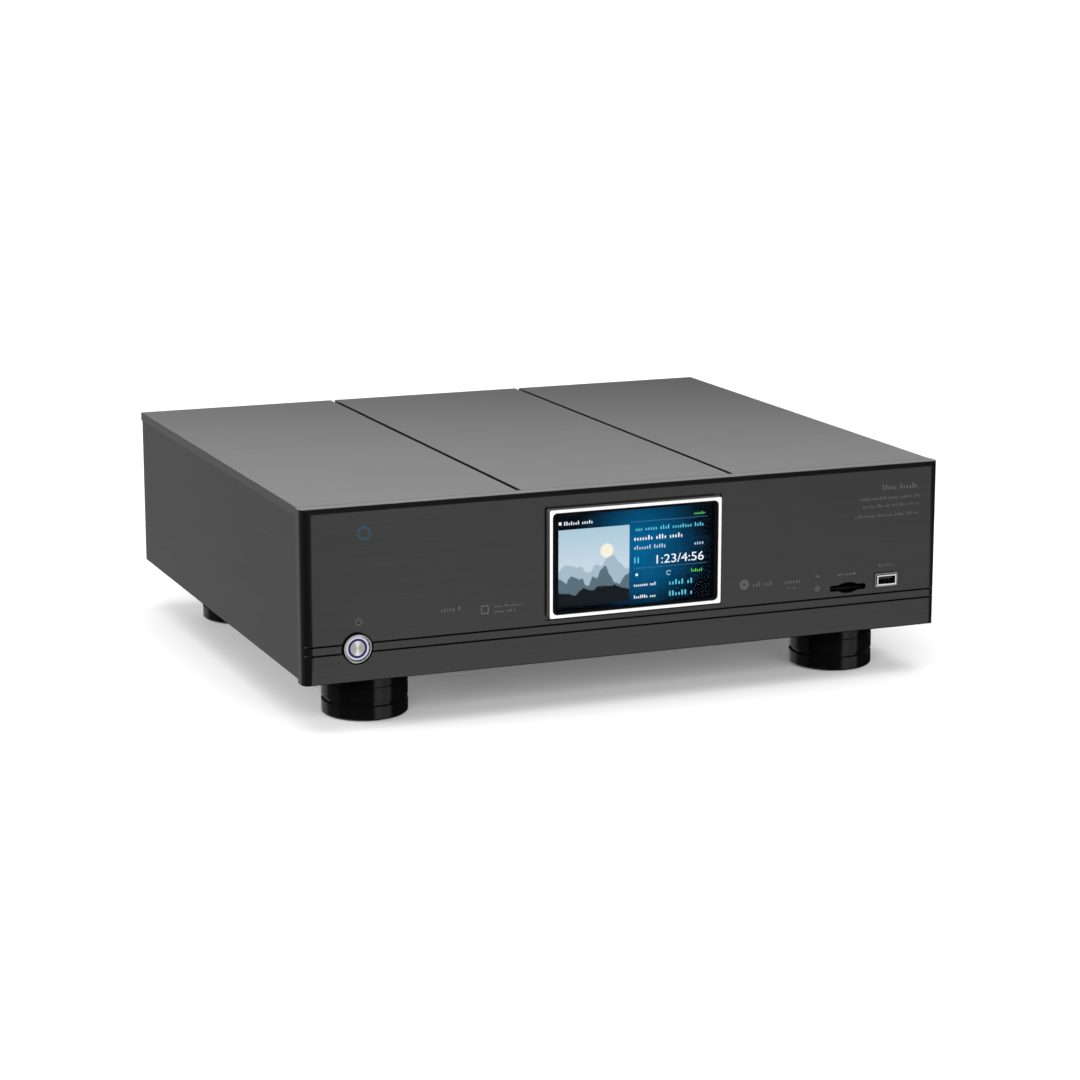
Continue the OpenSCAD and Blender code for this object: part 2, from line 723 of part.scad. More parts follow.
// Steel wall between the mains supply and the signal boards.
module shield_wall() color("#9a9da0") at_front() {
  box([-21.2, 34, base_top], [-20, 352, base_top + 82]);
  box([-20, 34, base_top], [-10, 352, base_top + 1.2]);
}

module standoffs() color("#c9ac62") at_front() {
  for (area = [psu_box, dac_box, net_box], p = board_corners(area))
    translate([p[0], p[1], base_top]) {
      cylinder(r = 3, h = standoff_h, $fn = 6);
      cylinder(r = 1.6, h = standoff_h + 3);
      translate([0, 0, standoff_h + board_t]) cylinder(r = 2.8, h = 1.6);
    }
  for (x = [128, 192]) translate([x, 60, base_top]) {
    cylinder(r = 3, h = front_board_z - base_top, $fn = 6);
    cylinder(r = 1.6, h = front_board_z - base_top + 3);
  }
}

// ---- output --------------------------------------------------------------

front_panel();
top_cover();
left_side();
right_side();
base_plate();
rear_panel();
corner_blocks();
tie_bolts();
panel_screws();
feet();
foot_pads();
foot_screws();
display_frame();
display_mask();
display_glass();
lcd_module();
display_board();
button_bezel();
light_ring();
button_cap();
button_switch();
front_usb_shell();
front_usb_tongue();
sd_socket();
sd_slider();
ir_window();
front_board();
mains_inlet();
mains_pins();
rocker();
fuse_drawer();
fuse();
rca_shells();
rca_white_insert();
rca_red_insert();
coax_inserts();
xlr_outputs();
xlr_pins();
xlr_input();
xlr_latch();
ethernet_port();
usb_b_port();
rear_usb_ports();
toslink_housings();
toslink_flap_1();
toslink_flap_2();
antenna_jacks();
jack_sockets();
serial_port();
transformer();
transformer_clamp();
power_board();
reservoir_capacitors();
regulator_heatsink();
dac_board();
dac_parts();
network_board();
processor_heatsink();
shield_wall();
standoffs();
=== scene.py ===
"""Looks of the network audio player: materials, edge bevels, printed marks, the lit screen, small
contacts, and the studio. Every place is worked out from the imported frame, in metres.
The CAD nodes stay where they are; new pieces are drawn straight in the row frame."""

import math
import random

import bmesh
import bpy
from mathutils import Euler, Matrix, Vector


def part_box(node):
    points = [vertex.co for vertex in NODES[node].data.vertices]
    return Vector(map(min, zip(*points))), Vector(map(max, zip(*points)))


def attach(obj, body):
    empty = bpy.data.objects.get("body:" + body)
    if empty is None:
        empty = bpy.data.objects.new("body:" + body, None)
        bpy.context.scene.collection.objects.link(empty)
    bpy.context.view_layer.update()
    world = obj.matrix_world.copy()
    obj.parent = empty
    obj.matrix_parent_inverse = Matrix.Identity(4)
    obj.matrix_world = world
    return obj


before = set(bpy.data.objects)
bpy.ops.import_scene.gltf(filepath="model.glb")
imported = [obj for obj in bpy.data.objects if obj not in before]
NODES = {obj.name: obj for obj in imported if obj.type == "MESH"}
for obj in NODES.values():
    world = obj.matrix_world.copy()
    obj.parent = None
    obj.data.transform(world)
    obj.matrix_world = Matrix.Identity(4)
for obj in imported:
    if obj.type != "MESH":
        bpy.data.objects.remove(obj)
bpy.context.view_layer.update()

MM = 0.001
SCENE = bpy.context.scene
SCENE.view_settings.view_transform = "Standard"


# ---- camera --------------------------------------------------------------

CAMERA_PLACE = (-0.73065, -1.83529, 0.49210)
CAMERA_YAW = 0.3859          # to the right of straight ahead
CAMERA_PITCH = 0.2117        # downward
CAMERA_LENS = 96.99          # mm, on a 36 mm sensor


def make_camera():
    data = bpy.data.cameras.new("camera")
    data.sensor_width = 36
    data.lens = CAMERA_LENS
    data.clip_start, data.clip_end = 0.05, 100
    camera = bpy.data.objects.new("camera", data)
    camera.location = CAMERA_PLACE
    camera.rotation_euler = Euler((math.pi / 2 - CAMERA_PITCH, 0, -CAMERA_YAW))
    SCENE.collection.objects.link(camera)
    SCENE.camera = camera


# ---- shader nodes --------------------------------------------------------

class Shader:
    """A material's node tree, emptied, with short calls for the nodes used here."""

    def __init__(self, material):
        self.material = material
        material.use_nodes = True
        self.tree = material.node_tree
        self.tree.nodes.clear()
        self.output = self.tree.nodes.new("ShaderNodeOutputMaterial")
        self.coords = None

    def add(self, kind, **settings):
        node = self.tree.nodes.new(kind)
        for key, value in settings.items():
            setattr(node, key, value)
        return node

    def link(self, source, target):
        self.tree.links.new(source, target)

    def feed(self, socket, value):
        """Links a socket to another, or sets its value."""
        if isinstance(value, bpy.types.NodeSocket):
            self.link(value, socket)
        else:
            socket.default_value = value

    def position(self, scale=(1, 1, 1), offset=(0, 0, 0)):
        """Place on the object in metres from offset, times scale."""
        if self.coords is None:
            self.coords = self.add("ShaderNodeTexCoord").outputs["Object"]
        moved = self.add("ShaderNodeVectorMath", operation="SUBTRACT")
        self.link(self.coords, moved.inputs[0])
        moved.inputs[1].default_value = offset
        scaled = self.add("ShaderNodeVectorMath", operation="MULTIPLY")
        self.link(moved.outputs[0], scaled.inputs[0])
        scaled.inputs[1].default_value = scale
        return scaled.outputs[0]

    def noise(self, scale, detail=2.0, offset=(0, 0, 0)):
        node = self.add("ShaderNodeTexNoise")
        node.inputs["Scale"].default_value = 1.0
        node.inputs["Detail"].default_value = detail
        self.link(self.position(scale, offset), node.inputs["Vector"])
        return node.outputs[0]

    def math(self, operation, *values, clamp=False):
        node = self.add("ShaderNodeMath", operation=operation, use_clamp=clamp)
        for socket, value in zip(node.inputs, values):
            self.feed(socket, value)
        return node.outputs[0]

    def spread(self, value, low, high, start=0.0, end=1.0, smooth=False):
        """Maps start..end to low..high."""
        node = self.add("ShaderNodeMapRange")
        if smooth:
            node.interpolation_type = "SMOOTHSTEP"
        self.feed(node.inputs["Value"], value)
        for key, number in zip(("From Min", "From Max", "To Min", "To Max"), (start, end, low, high)):
            node.inputs[key].default_value = number
        return node.outputs[0]

    def mix(self, share, first, second):
        node = self.add("ShaderNodeMix", data_type="RGBA")
        self.feed(node.inputs["Factor"], share)
        self.feed(node.inputs[6], first)
        self.feed(node.inputs[7], second)
        return node.outputs[2]

    def parts(self, vector):
        node = self.add("ShaderNodeSeparateXYZ")
        self.link(vector, node.inputs[0])
        return node.outputs

    def within(self, low, high):
        """1 inside a box of the row frame, 0 outside."""
        middle = [(a + b) / 2 for a, b in zip(low, high)]
        far = self.add("ShaderNodeVectorMath", operation="ABSOLUTE")
        self.link(self.position([2 / (b - a) for a, b in zip(low, high)], middle), far.inputs[0])
        x, y, z = self.parts(far.outputs[0])
        return self.math("LESS_THAN", self.math("MAXIMUM", self.math("MAXIMUM", x, y), z), 1.0)

    def bump(self, height, strength, depth=0.0001):
        node = self.add("ShaderNodeBump")
        node.inputs["Strength"].default_value = strength
        node.inputs["Distance"].default_value = depth
        self.link(height, node.inputs["Height"])
        return node.outputs[0]

    def surface(self, **sockets):
        """A Principled shader; names use _ for a space. Linked or plain values."""
        shader = self.add("ShaderNodeBsdfPrincipled")
        for key, value in sockets.items():
            self.feed(shader.inputs[key.replace("_", " ")], value)
        self.link(shader.outputs[0], self.output.inputs[0])


def rgb(colour, gain=1.0):
    return (colour[0] * gain, colour[1] * gain, colour[2] * gain, 1.0)


def new_material(name):
    """The frame's own material of that slot name, or a new one, ready for nodes."""
    return Shader(bpy.data.materials.get(name) or bpy.data.materials.new(name))


# ---- finishes ------------------------------------------------------------

# Painted shade: the black painted into the front panel round the card slot.
POCKET_PAINTED_SHADE = (0.0005, 0.0005, 0.0005, 1)
WALL_PAINTED_SHADE = (0.16, 0.158, 0.155, 1)                              # the display frame's side walls, painted darker as shade
FACE_TONES = (0.86, 0.865, 0.87, 1), (0.94, 0.945, 0.95, 1)      # its face, from line to line
# The USB shell's two greys are painted: shade on the flange, a highlight on the lip.
FLANGE_PAINTED_SHADE, LIP_PAINTED_HIGHLIGHT = (0.16, 0.16, 0.155, 1), (0.72, 0.72, 0.72, 1)
LIP_HALF = (7.25, 60, 3.55)      # mm from the middle of the USB socket to the sides of the painted highlight; any depth
RINGS_PER_METRE = 9000
OFF_CENTRE = 0.0004              # metres, keeps the angle on turned metal from dividing by nothing

def brushed(name, colour, roughness, metallic=1.0, along=0, fine=2600, streak=260, contrast=0.30,
            depth=0.00003, strength=0.35, pocket=None, **fixed):
    """Metal brushed along one axis: fine lines for bump and roughness, broad ones for tone.
    pocket is a box (low, high) that reaches into the metal, where its colour is painted black as shade for
    the card slot's recess."""
    s = new_material(name)
    fine_scale, streak_scale = [fine] * 3, [streak] * 3
    fine_scale[along], streak_scale[along] = 24, 5
    lines = s.noise(fine_scale, 3.0)
    streaks = s.noise(streak_scale, 4.0, (0.31, 0.17, 0.05))
    clouds = s.noise((9, 9, 9), 2.0)
    tone = s.math("ADD", s.math("MULTIPLY", streaks, 0.6), s.math("MULTIPLY", lines, 0.4))
    tone = s.math("ADD", s.math("MULTIPLY", tone, 0.8), s.math("MULTIPLY", clouds, 0.2))
    shade = s.mix(s.spread(tone, 0, 1, 0.3, 0.7), rgb(colour, 1 - contrast), rgb(colour, 1 + contrast))
    # Inside the pocket box the colour is painted black: painted shade for the recess.
    if pocket:
        shade = s.mix(s.within(*pocket), shade, POCKET_PAINTED_SHADE)
    s.surface(
        Base_Color=shade,
        Metallic=metallic,
        Roughness=s.spread(tone, roughness + 0.02, roughness - 0.02, 0.3, 0.7),
        Normal=s.bump(lines, strength, depth),
        **fixed)


def powder_coat(name, colour, roughness=0.55, grain=1400):
    """Fine textured paint: pebbled bump and a faint speckle."""
    s = new_material(name)
    pebbles = s.noise((grain,) * 3, 2.0)
    speckle = s.noise((grain * 2.7,) * 3, 1.0)
    s.surface(
        Base_Color=s.mix(s.spread(speckle, 0, 1, 0.4, 0.65), rgb(colour, 0.8), rgb(colour, 1.4)),
        Roughness=s.spread(pebbles, roughness - 0.1, roughness + 0.1, 0.3, 0.7),
        Normal=s.bump(pebbles, 0.5, 0.00015))


def moulded(name, colour, roughness=0.42, texture=1800, bump=0.25, coat=0.0, **fixed):
    """Moulded plastic or rubber: spark-eroded texture, faint flow marks in gloss and tone."""
    s = new_material(name)
    spark = s.noise((texture,) * 3, 2.0)
    flow = s.noise((70, 70, 35), 3.0)
    s.surface(
        Base_Color=s.mix(s.spread(flow, 0, 1, 0.3, 0.7), rgb(colour, 0.85), rgb(colour, 1.15)),
        Roughness=s.spread(flow, roughness - 0.06, roughness + 0.08, 0.3, 0.7),
        Normal=s.bump(spark, bump, 0.00005),
        Coat_Weight=coat,
        **fixed)
    return s.material


def frame_metal():
    """The display frame: bright satin face, its side walls painted a duller, matt grey as shade."""
    s = new_material("frame_silver")
    facing = s.math("ABSOLUTE", s.parts(s.add("ShaderNodeNewGeometry").outputs["Normal"])[1])
    front = s.spread(facing, 0, 1, 0.25, 0.6, True)
    grain = s.noise((40, 900, 900), 3.0)
    s.surface(
        # Side walls painted grey by their facing: painted shade.
        Base_Color=s.mix(front, WALL_PAINTED_SHADE, s.mix(grain, *FACE_TONES)),
        Metallic=s.spread(front, 0.1, 1.0),
        Roughness=s.spread(grain, 0.12, 0.20, 0.3, 0.7),
        Normal=s.bump(grain, 0.12, 0.00002))


def usb_metal(middle):
    """The front USB socket, one steel: outer flange painted a darker grey as shade, lip round the opening
    painted bright as a highlight.
    """
    s = new_material("usb_steel")
    lip = s.within(middle - Vector(LIP_HALF) * MM, middle + Vector(LIP_HALF) * MM)
    grain = s.noise((900, 900, 900), 3.0)
    s.surface(
        Base_Color=s.mix(lip, FLANGE_PAINTED_SHADE, LIP_PAINTED_HIGHLIGHT),
        Metallic=1.0,
        Roughness=s.spread(grain, 0.16, 0.28, 0.3, 0.7),
        Normal=s.bump(grain, 0.1, 0.00002))


def plated(name, colour, roughness=0.16, mark=700):
    """Plated metal: soft dull patches and hairline handling marks."""
    s = new_material(name)
    patches = s.noise((160,) * 3, 3.0)
    hairs = s.noise((mark, mark * 6, 60), 2.0)
    s.surface(
        Base_Color=s.mix(s.spread(patches, 0, 1, 0.3, 0.7), rgb(colour, 0.88), rgb(colour, 1.05)),
        Metallic=1.0,
        Roughness=s.spread(s.math("ADD", patches, s.math("MULTIPLY", hairs, 0.5)),
                           roughness * 0.6, roughness * 1.7, 0.45, 1.0),
        Normal=s.bump(hairs, 0.12, 0.00002))


def turned(name, colour, centre, axis, roughness=0.22, glow=None, fan=0.0):
    """Lathe-turned metal: fine rings about an axis through centre, which is 1 for Y or 2 for Z.
    glow is light from a lit ring painted on as emission: (radius, reach, colour, strength). fan is how
    much darker the face is painted away from the upright, a painted shade standing in for the reflection
    of polished rings."""
    s = new_material(name)
    flat = [1, 1, 1]
    flat[axis] = 0
    radial = s.position(flat, centre)
    length = s.add("ShaderNodeVectorMath", operation="LENGTH")
    s.link(radial, length.inputs[0])
    rings = s.add("ShaderNodeTexNoise", noise_dimensions="1D")
    s.link(length.outputs["Value"], rings.inputs["W"])
    rings.inputs["Scale"].default_value = RINGS_PER_METRE
    across = s.add("ShaderNodeVectorMath", operation="CROSS_PRODUCT")
    s.link(radial, across.inputs[0])
    across.inputs[1].default_value = [0 if i != axis else 1 for i in range(3)]
    painted_spill = {}
    # Painted light: emission that fades with distance from the lit ring's radius.
    if glow:
        radius, reach, tint, strength = glow
        away = s.math("ABSOLUTE", s.math("SUBTRACT", length.outputs["Value"], radius))
        painted_spill = {"Emission_Color": rgb(tint),
                 "Emission_Strength": s.spread(away, strength, 0, 0, reach, True)}
    x, _, z = s.parts(radial)
    lean = s.math("ABSOLUTE", s.math("DIVIDE", x, s.math("ADD", length.outputs["Value"], OFF_CENTRE)))
    # Painted shade: the face darkens away from the upright, leaving a bright painted fan.
    painted_fan_shade = s.spread(s.math("POWER", lean, 0.6), 1, 1 - fan, 0.1, 0.9, True)
    shade = s.mix(rings.outputs[0], rgb(colour, 0.8), rgb(colour, 1.1))
    s.surface(
        **painted_spill,
        Base_Color=s.mix(painted_fan_shade, (0, 0, 0, 1), shade),
        Metallic=1.0,
        Roughness=s.spread(rings.outputs[0], roughness - 0.05, roughness + 0.06, 0.3, 0.7),
        Normal=s.bump(rings.outputs[0], 0.25, 0.00002),
        Anisotropic=0.75,
        Tangent=across.outputs[0])


def circuit_board(name, colour):
    """Solder mask over copper: raised lighter tracks in a square-cornered net."""
    s = new_material(name)
    net = s.add("ShaderNodeTexVoronoi", feature="F1", distance="CHEBYCHEV")
    s.link(s.position((260, 260, 260)), net.inputs["Vector"])
    net.inputs["Scale"].default_value = 1.0
    tracks = s.spread(s.math("FRACT", s.math("MULTIPLY", net.outputs["Distance"], 4.0)), 0, 1, 0.55, 0.7)
    s.surface(
        Base_Color=s.mix(tracks, rgb(colour, 0.7), rgb(colour, 1.5)),
        Roughness=s.spread(s.noise((300,) * 3), 0.28, 0.45),
        Normal=s.bump(tracks, 0.4, 0.00004))


def wound_tape(name, colour, centre):
    """Amber tape wrapped round a ring core: overlapping turns as radial ridges."""
    s = new_material(name)
    x, y, _ = s.parts(s.position((1, 1, 1), centre))
    turn = s.math("MULTIPLY", s.math("ARCTAN2", y, x), 26.0)
    ridge = s.math("FRACT", turn)
    s.surface(
        Base_Color=s.mix(ridge, rgb(colour, 0.65), rgb(colour, 1.2)),
        Roughness=s.spread(s.noise((120, 120, 120)), 0.3, 0.5),
        Normal=s.bump(ridge, 0.6, 0.0004))


def glowing(name, colour, power, variation=0.12, scale=400):
    """Lit plastic, its glow slightly uneven."""
    s = new_material(name)
    uneven = s.noise((scale,) * 3, 2.0)
    s.surface(
        Base_Color=(0.01, 0.01, 0.012, 1),
        Roughness=s.spread(uneven, 0.3, 0.45),
        Emission_Color=s.mix(s.spread(uneven, 0, 1, 0.3, 0.7),
                             rgb(colour, 1 - variation), rgb(colour, 1 + variation)),
        Emission_Strength=power,
        Specular_IOR_Level=0.2)
    return s.material


def clear_glass(name):
    """Cover glass: see-through, with a reflection that grows towards its edge-on view."""
    s = new_material(name)
    edge = s.add("ShaderNodeFresnel")
    edge.inputs["IOR"].default_value = 1.35
    smear = s.noise((35, 35, 35), 3.0)
    gloss = s.add("ShaderNodeBsdfGlossy")
    s.link(s.spread(smear, 0.02, 0.09, 0.3, 0.7), gloss.inputs["Roughness"])
    gloss.inputs["Color"].default_value = (0.6, 0.65, 0.7, 1)
    clear = s.add("ShaderNodeBsdfTransparent")
    both = s.add("ShaderNodeMixShader")
    s.link(s.math("MULTIPLY", edge.outputs[0], 0.12), both.inputs[0])
    s.link(clear.outputs[0], both.inputs[1])
    s.link(gloss.outputs[0], both.inputs[2])
    s.link(both.outputs[0], s.output.inputs[0])


# ---- mesh helpers --------------------------------------------------------

def centre_of(node):
    low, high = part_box(node)
    return (low + high) / 2


def piece(name, mesh, material, body="case"):
    """Turns a bmesh, drawn in the row frame, into a piece that rides on a body."""
    bmesh.ops.recalc_face_normals(mesh, faces=mesh.faces[:])
    data = bpy.data.meshes.new(name)
    mesh.to_mesh(data)
    mesh.free()
    data.materials.append(material)
    made = bpy.data.objects.new(name, data)
    SCENE.collection.objects.link(made)
    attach(made, body)


def prism(mesh, outline, front, back):
    """A plate from an outline of (x, z) points, between two y planes."""
    near = [mesh.verts.new((x, front, z)) for x, z in outline]
    far = [mesh.verts.new((x, back, z)) for x, z in outline]
    mesh.faces.new(near)
    mesh.faces.new(far[::-1])
    for i in range(len(outline)):
        j = (i + 1) % len(outline)
        mesh.faces.new((near[j], near[i], far[i], far[j]))


def round_box(x0, z0, x1, z1, radius, steps=4):
    """Outline of a rectangle with rounded corners."""
    radius = min(radius, (x1 - x0) / 2, (z1 - z0) / 2)
    points = []
    for cx, cz, start in ((x1 - radius, z1 - radius, 0), (x0 + radius, z1 - radius, 90),
                          (x0 + radius, z0 + radius, 180), (x1 - radius, z0 + radius, 270)):
        for i in range(steps + 1):
            a = math.radians(start + 90 * i / steps)
            points.append((cx + radius * math.cos(a), cz + radius * math.sin(a)))
    return points


def ring(mesh, cx, cz, inner, outer, front, back, start=0.0, sweep=360.0, steps=40):
    """A flat ring, or part of one, between two y planes."""
    full = sweep >= 360
    count = steps if full else steps + 1
    rows = []
    for i in range(count):
        a = math.radians(start + sweep * i / steps)
        c, s = math.cos(a), math.sin(a)
        rows.append([mesh.verts.new((cx + r * c, y, cz + r * s))
                     for r, y in ((inner, front), (outer, front), (outer, back), (inner, back))])
    for i in range(steps if full else count - 1):
        a, b = rows[i], rows[(i + 1) % count]
        for k in range(4):
            m = (k + 1) % 4
            mesh.faces.new((a[k], a[m], b[m], b[k]))
    if not full:
        mesh.faces.new(rows[0])
        mesh.faces.new(rows[-1][::-1])


def text_marks(mesh, x0, x1, z, height, front, back, seed):
    """A line of upright strokes grouped like words, which stands for printed text."""
    draw = random.Random(seed)
    pitch = height * 0.62
    stroke = height * 0.30
    x, left = x0, draw.randint(3, 7)
    while x + stroke <= x1 + 1e-9:
        if left == 0:
            x += pitch * 0.9
            left = draw.randint(3, 8)
            continue
        tall = height * draw.choice((0.62, 0.62, 0.7, 1.0))
        prism(mesh, round_box(x, z - height / 2, x + stroke, z - height / 2 + tall, stroke / 2, 2),
              front, back)
        x += pitch
        left -= 1


# ---- finishing the CAD nodes ---------------------------------------------

BEVEL = {      # widths in mm
    "front_panel": 0.16, "top_cover": 0.22, "left_side": 0.25, "right_side": 0.25,
    "rear_panel": 0.15, "base_plate": 0.2, "feet": 0.18, "foot_pads": 0.3,
    "display_frame": 0.18, "display_mask": 0.2, "button_bezel": 0.16, "button_cap": 0.22,
    "light_ring": 0.1, "front_usb_shell": 0.14, "mains_inlet": 0.4, "rocker": 0.35,
    "fuse_drawer": 0.25, "transformer_clamp": 0.25, "corner_blocks": 0.3,
}
UNBEVELLED = {"display_glass", "lcd_module"}
SMALL_BEVEL = 0.1              # mm, on every other node
WELD_DISTANCE = 1e-6           # metres
FLAT_ANGLE, BEVEL_ANGLE = 0.4, 35      # degrees


def finish_edges():
    """Welds each CAD mesh's seams for display, and rounds its sharp edges so that they catch light."""
    for name, node in NODES.items():
        weld = node.modifiers.new("weld", "WELD")
        weld.merge_threshold = WELD_DISTANCE
        if name in UNBEVELLED:
            continue
        flat = node.modifiers.new("flat", "DECIMATE")
        flat.decimate_type = "DISSOLVE"
        flat.angle_limit = math.radians(FLAT_ANGLE)
        bevel = node.modifiers.new("bevel", "BEVEL")
        bevel.width = BEVEL.get(name, SMALL_BEVEL) * MM
        bevel.segments = 2
        bevel.limit_method = "ANGLE"
        bevel.angle_limit = math.radians(BEVEL_ANGLE)
        bevel.harden_normals = False
        normals = node.modifiers.new("normals", "WEIGHTED_NORMAL")
        normals.keep_sharp = False
        normals.weight = 80


def make_materials():
    coil = centre_of("transformer")
    button = centre_of("button_cap")
    card, usb = centre_of("sd_socket"), centre_of("front_usb_shell")
    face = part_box("front_panel")[0].y
    # Box round the card slot where the front panel is painted black as shade.
    card_slot_shade = ((card.x - 16 * MM, face + 0.15 * MM, card.z - 4.2 * MM),
                   (card.x + 16 * MM, face + 12.5 * MM, card.z + 4.2 * MM))
    brushed("front_anodised", (0.0555, 0.0545, 0.0540), 0.29, metallic=0.9, contrast=0.06,
            strength=0.25, streak=1100, pocket=card_slot_shade)
    brushed("cover_anodised", (0.060, 0.060, 0.061), 0.30, metallic=0.9, contrast=0.08, streak=700)
    brushed("side_anodised", (0.055, 0.055, 0.0555), 0.36, metallic=0.9, along=1, contrast=0.04,
            strength=0.2, streak=1100)
    powder_coat("black_powder", (0.016, 0.016, 0.017))
    brushed("raw_aluminium", (0.62, 0.63, 0.64), 0.34, along=2, contrast=0.12)
    brushed("screw_steel", (0.16, 0.16, 0.165), 0.32, contrast=0.2)
    brushed("foot_gloss", (0.004, 0.004, 0.0042), 0.13, metallic=0.0, along=1, fine=3000,
            contrast=0.3, strength=0.08, Specular_IOR_Level=0.22)
    moulded("foot_rubber", (0.012, 0.012, 0.012), 0.75, 2600, 0.5)
    frame_metal()
    usb_metal(usb)
    moulded("black_plastic", (0.010, 0.010, 0.0105), 0.4)
    clear_glass("display_glass")
    moulded("bezel_black", (0.002, 0.002, 0.0022), 0.3, bump=0.05, Specular_IOR_Level=0.05)
    circuit_board("board_green", (0.012, 0.12, 0.05))
    circuit_board("board_blue", (0.012, 0.06, 0.18))
    lavender = (0.62, 0.55, 1.0)
    # The lavender emission on bezel and cap is painted light from the ring; the cap's 0.55 is its painted
    # fan shade.
    turned("bezel_steel", (0.42, 0.43, 0.44), button, 1, 0.16, (6.3 * MM, 0.9 * MM, lavender, 0.45))
    turned("cap_steel", (0.95, 0.94, 0.88), button, 1, 0.26, (4.9 * MM, 0.6 * MM, lavender, 0.25), 0.55)
    glowing("ring_light", (0.002, 0.0, 0.065), 1.0)
    plated("socket_metal", (0.78, 0.79, 0.80), 0.15)
    moulded("red_window", (0.035, 0.03, 0.032), 0.2, bump=0.4, coat=0.25)
    plated("pin_metal", (0.80, 0.70, 0.48), 0.2)
    moulded("switch_plastic", (0.012, 0.012, 0.0125), 0.3)
    plated("fuse_caps", (0.75, 0.72, 0.62), 0.22)
    plated("gold_plate", (0.95, 0.68, 0.28), 0.16)
    moulded("insert_white", (0.72, 0.72, 0.70), 0.3)
    moulded("insert_red", (0.45, 0.02, 0.02), 0.3)
    powder_coat("xlr_black", (0.014, 0.014, 0.015), 0.4, 2400)
    wound_tape("coil_tape", (0.42, 0.18, 0.04), coil)
    brushed("zinc_steel", (0.60, 0.60, 0.57), 0.36, along=1, contrast=0.2)
    moulded("capacitor_sleeve", (0.02, 0.03, 0.09), 0.25, coat=0.3)
    brushed("sink_black", (0.03, 0.03, 0.031), 0.4, metallic=0.8, along=2)
    moulded("chip_black", (0.015, 0.015, 0.016), 0.5)
    turned("standoff_brass", (0.85, 0.66, 0.32), (0, 0, 0), 2, 0.25)


# ---- the lit screen ------------------------------------------------------

LCD_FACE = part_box("lcd_module")[0].y
PICTURE_W, PICTURE_H = 108.0 * MM, 61.0 * MM
PICTURE = centre_of("lcd_module")
LAYER = 0.05 * MM
GLOW_REACH = 0.038           # metres over which the blue behind the picture fades
ALBUM = (2.2, 9.8, 50.6, 59.0)     # left, top, right, bottom, in mm from the picture's corner


def screen_point(u, v):
    """From mm right and down of the picture's top left corner to (x, z)."""
    return PICTURE.x - PICTURE_W / 2 + u * MM, PICTURE.z + PICTURE_H / 2 - v * MM


def screen_layer(level):
    """Front and back y of a layer of the picture, 1 being next to the panel."""
    return LCD_FACE - LAYER * level, LCD_FACE - LAYER * (level - 1)


def screen_background():
    """Blue glow, brightest above the middle, falling to near black at the sides."""
    s = new_material("lcd_panel")
    glow_centre = screen_point(59, 26)
    x, _, z = s.parts(s.position((1 / GLOW_REACH, 0, 1 / GLOW_REACH),
                                 (glow_centre[0], 0, glow_centre[1])))
    far = s.math("SQRT", s.math("ADD", s.math("MULTIPLY", x, x), s.math("MULTIPLY", z, z)))
    wisps = s.noise((30, 1, 90), 3.0)
    level = s.spread(s.math("ADD", far, s.math("MULTIPLY", wisps, 0.5)), 1, 0, 0.2, 1.55, True)
    colour = s.mix(level, (0.0003, 0.0015, 0.004, 1), (0.0, 0.115, 0.285, 1))
    s.surface(Base_Color=(0, 0, 0, 1), Roughness=0.5, Specular_IOR_Level=0.0,
              Emission_Color=colour, Emission_Strength=1.0)


def hills_material():
    """A made-up landscape for the album square: pale sky, a low sun and three misty ridges."""
    s = new_material("album_hills")
    u0, v0, u1, v1 = ALBUM
    corner_x, corner_z = screen_point(u0, v1)
    size = (u1 - u0) * MM
    x, _, z = s.parts(s.position((1 / size, 0, 1 / size), (corner_x, 0, corner_z)))
    colour = s.mix(z, (0.74, 0.79, 0.83, 1), (0.42, 0.60, 0.72, 1))
    sun = s.math("SQRT", s.math("ADD", s.math("POWER", s.math("SUBTRACT", x, 0.68), 2.0),
                                s.math("POWER", s.math("SUBTRACT", z, 0.70), 2.0)))
    colour = s.mix(s.spread(sun, 1, 0, 0.085, 0.10), colour, (0.95, 0.88, 0.74, 1))
    for height, swing, pitch, shade in ((0.52, 0.20, 3.1, (0.38, 0.50, 0.58, 1)),
                                        (0.36, 0.24, 4.3, (0.10, 0.16, 0.20, 1)),
                                        (0.20, 0.20, 2.2, (0.006, 0.009, 0.011, 1))):
        wave = s.add("ShaderNodeTexNoise", noise_dimensions="1D")
        s.feed(wave.inputs["W"], s.math("ADD", x, height * 7))
        wave.inputs["Scale"].default_value = pitch
        wave.inputs["Detail"].default_value = 3.0
        ridge = s.math("MULTIPLY", s.math("SUBTRACT", wave.outputs[0], 0.5), swing * 2)
        ridge = s.math("ADD", ridge, height)
        colour = s.mix(s.spread(s.math("SUBTRACT", ridge, z), 0, 1, -0.006, 0.006), colour, shade)
    s.surface(Base_Color=(0, 0, 0, 1), Roughness=0.5, Specular_IOR_Level=0.0,
              Emission_Color=colour, Emission_Strength=1.0)
    return s.material


def screen_ink(name, colour):
    return glowing(name, colour, 1.0, 0.06, 900)


def screen_bars(name, material, bars, level=1):
    """Rounded bars of the picture, each (left, top, right, bottom) in its mm."""
    mesh = bmesh.new()
    front, back = screen_layer(level)
    for u0, v0, u1, v1 in bars:
        x0, z0 = screen_point(u0, v1)
        x1, z1 = screen_point(u1, v0)
        prism(mesh, round_box(x0, z0, x1, z1, 0.25 * MM, 2), front, back)
    piece(name, mesh, material)


def screen_lines(name, material, lines):
    """Lines of text marks, each (left, right, middle height, size) in mm of the picture."""
    mesh = bmesh.new()
    front, back = screen_layer(1)
    for i, (u0, u1, v, size) in enumerate(lines):
        x0, z = screen_point(u0, v)
        x1, _ = screen_point(u1, v)
        text_marks(mesh, x0, x1, z, size * MM, front, back, f"{name}{i}")
    piece(name, mesh, material)


